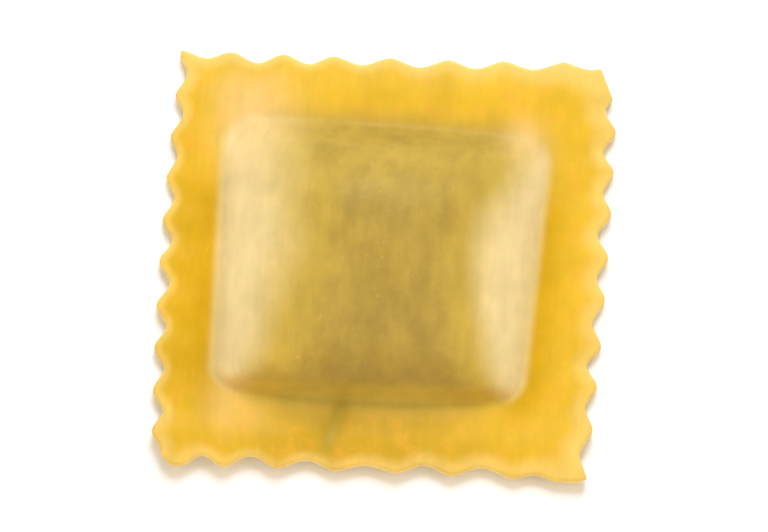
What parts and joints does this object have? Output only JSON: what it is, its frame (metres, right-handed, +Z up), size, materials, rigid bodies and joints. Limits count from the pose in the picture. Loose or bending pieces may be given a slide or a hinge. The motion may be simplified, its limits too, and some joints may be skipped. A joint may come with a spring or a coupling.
{
  "type": "raviolo",
  "caption": "Square filled pasta with a soft raised pocket and a flat rim cut with a toothed wheel, lying on its flat underside.",
  "frame": {"origin": "on the table under the middle of the raviolo's outline, at the level of its flat underside", "axes": "+Z up through the filled pocket, +X to the right and +Y to the back along the sides of the square"},
  "size_m": [0.0508, 0.048, 0.0087],
  "materials": {
    "egg_pasta": "satin golden egg dough, paler at the cut, olive over the filling"
  },
  "bodies": {
    "root": {"raviolo": "egg_pasta"}
  },
  "joints": []
}
